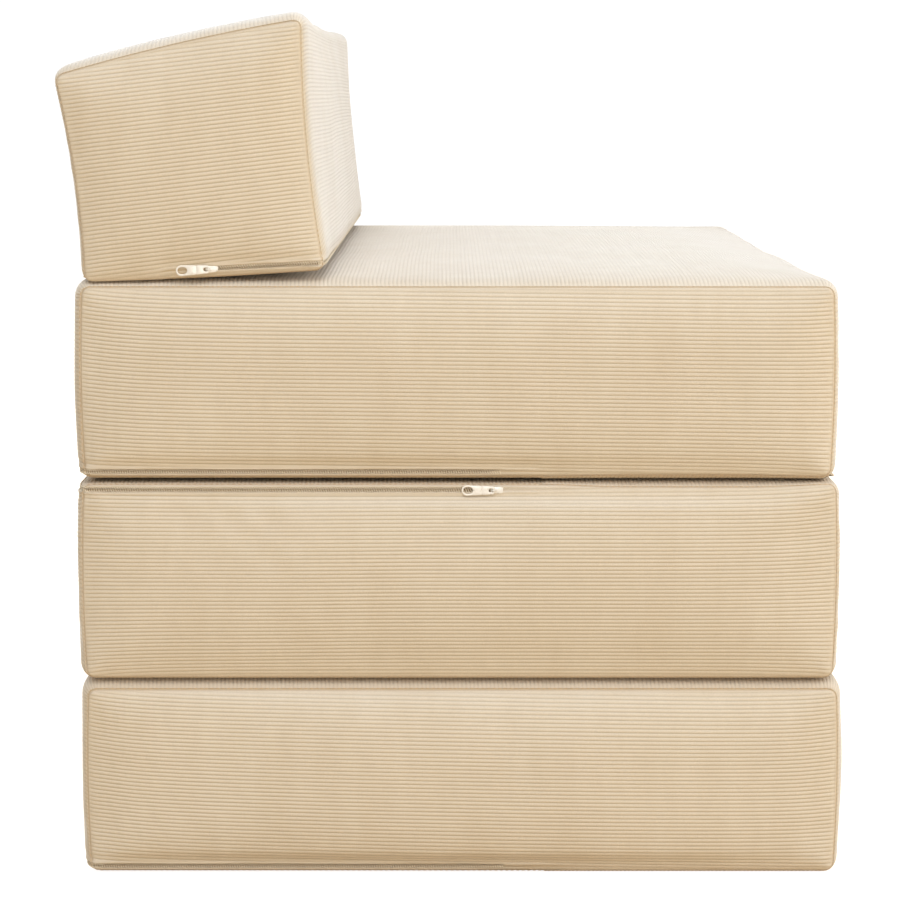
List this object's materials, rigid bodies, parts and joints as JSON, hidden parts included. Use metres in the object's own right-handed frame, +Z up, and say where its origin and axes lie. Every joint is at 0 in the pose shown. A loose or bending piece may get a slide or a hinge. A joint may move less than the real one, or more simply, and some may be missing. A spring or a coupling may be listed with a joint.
{
  "type": "folding sofa bed",
  "caption": "Foam slabs hinged edge to edge in a zigzag stack, with a wedge bolster hinged behind as a low back; unfolds into a flat bed. Corduroy covers with zips.",
  "frame": {"origin": "on the floor, under the middle of the folded stack", "axes": "+X towards the front of the sofa, +Y along its width, +Z up"},
  "size_m": [0.6233, 0.8028, 0.6859],
  "materials": {
    "corduroy": "matte",
    "hinge_cloth": "matte",
    "zip_tape": "matte",
    "zip_metal": "satin",
    "foam": "matte"
  },
  "bodies": {
    "base": {"base_foam_core": "foam", "base_cover": "corduroy", "base_zip_upper_stringer": "zip_tape", "base_zip_lower_stringer": "zip_tape", "base_back_hinge_leaf": "hinge_cloth"},
    "base_slider": {"base_zip_slider": "zip_metal"},
    "base_puller": {"base_zip_puller": "zip_metal"},
    "middle": {"middle_foam_core": "foam", "middle_cover": "corduroy", "middle_zip_upper_stringer": "zip_tape", "middle_zip_lower_stringer": "zip_tape", "middle_back_hinge_leaf": "hinge_cloth", "middle_front_hinge_leaf": "hinge_cloth"},
    "middle_slider": {"middle_zip_slider": "zip_metal"},
    "middle_puller": {"middle_zip_puller": "zip_metal"},
    "seat": {"seat_foam_core": "foam", "seat_cover": "corduroy", "seat_zip_upper_stringer": "zip_tape", "seat_zip_lower_stringer": "zip_tape", "seat_front_hinge_leaf": "hinge_cloth", "seat_back_hinge_leaf": "hinge_cloth"},
    "seat_slider": {"seat_zip_slider": "zip_metal"},
    "seat_puller": {"seat_zip_puller": "zip_metal"},
    "backrest": {"backrest_foam_core": "foam", "backrest_cover": "corduroy", "backrest_zip_upper_stringer": "zip_tape", "backrest_zip_lower_stringer": "zip_tape", "backrest_hinge_leaf": "hinge_cloth"},
    "backrest_slider": {"backrest_zip_slider": "zip_metal"},
    "backrest_puller": {"backrest_zip_puller": "zip_metal"}
  },
  "joints": [
    {"name": "middle_fold", "type": "hinge", "parent": "base", "child": "middle", "pos_m": [-0.3024, 0, 0.1592], "axis": [0, -1, 0], "range_deg": [0, 180]},
    {"name": "seat_fold", "type": "hinge", "parent": "middle", "child": "seat", "pos_m": [0.3064, 0, 0.3186], "axis": [0, 1, 0], "range_deg": [0, 180]},
    {"name": "backrest_fold", "type": "hinge", "parent": "seat", "child": "backrest", "pos_m": [-0.299, 0, 0.478], "axis": [0, -1, 0], "range_deg": [0, 158]},
    {"name": "base_zip_slide", "type": "slide", "parent": "base", "child": "base_slider", "axis": [-1, 0, 0], "range_m": [0, 0.3]},
    {"name": "base_puller_swing", "type": "hinge", "parent": "base_slider", "child": "base_puller", "pos_m": [0.0308, 0.3989, 0.007], "axis": [0, 0, -1], "range_deg": [0, 170]},
    {"name": "middle_zip_slide", "type": "slide", "parent": "middle", "child": "middle_slider", "axis": [-1, 0, 0], "range_m": [0, 0.3]},
    {"name": "middle_puller_swing", "type": "hinge", "parent": "middle_slider", "child": "middle_puller", "pos_m": [0.0298, -0.3989, 0.3126], "axis": [0, 0, 1], "range_deg": [0, 170]},
    {"name": "seat_zip_slide", "type": "slide", "parent": "seat", "child": "seat_slider", "axis": [-1, 0, 0], "range_m": [0, 0.3]},
    {"name": "seat_puller_swing", "type": "hinge", "parent": "seat_slider", "child": "seat_puller", "pos_m": [0.0278, 0.3989, 0.3269], "axis": [0, 0, -1], "range_deg": [0, 170]},
    {"name": "backrest_zip_slide", "type": "slide", "parent": "backrest", "child": "backrest_slider", "axis": [0.9988, 0, 0.0499], "range_m": [0, 0.055]},
    {"name": "backrest_puller_swing", "type": "hinge", "parent": "backrest_slider", "child": "backrest_puller", "pos_m": [-0.19234, -0.3989, 0.48649], "axis": [-0.0499, 0, 0.9988], "range_deg": [0, 170]}
  ],
  "couplings": [
    {"joint": "seat_fold", "follows": "middle_fold", "ratio": 1}
  ]
}
